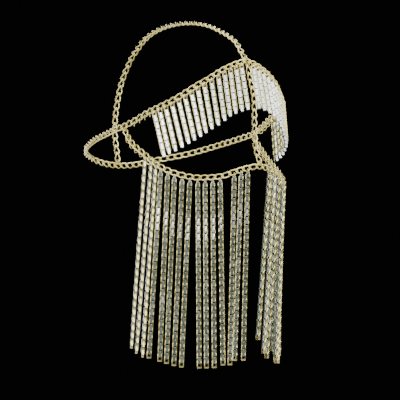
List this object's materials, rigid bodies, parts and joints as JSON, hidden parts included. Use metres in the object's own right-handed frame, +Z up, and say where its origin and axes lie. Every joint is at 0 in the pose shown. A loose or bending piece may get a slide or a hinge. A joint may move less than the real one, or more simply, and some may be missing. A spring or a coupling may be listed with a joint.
{
  "type": "head chain with face veil",
  "caption": "Curb chain headpiece that crosses the crown, rings brow and nape, runs down the nose and droops under the eyes, hung with box chain fringes over forehead and face.",
  "frame": {"origin": "underside of the crown chain at the top of the head, where the piece sits", "axes": "+Z up, the face looks toward -Y, +X toward the wearer's left ear"},
  "size_m": [0.1638, 0.2211, 0.325],
  "materials": {
    "gold_wire": "polished pale gold plating",
    "silver_strip": "polished bright silver plating"
  },
  "bodies": {
    "root": {"crown_chain": "gold_wire", "brow_chain": "gold_wire", "nape_chain": "gold_wire", "nape_links": "gold_wire", "nose_chain": "gold_wire", "veil_chain": "gold_wire", "crown_ring": "gold_wire", "nape_ring": "gold_wire", "nose_ring": "gold_wire", "nose_bridge_ring": "gold_wire", "ear_ring_left": "gold_wire", "ear_ring_right": "gold_wire", "brow_fringe_left": "silver_strip", "brow_fringe_right": "silver_strip", "veil_fringe_left": "silver_strip", "veil_fringe_right": "silver_strip", "bare_rings_left": "gold_wire", "bare_rings_right": "gold_wire"}
  },
  "joints": []
}
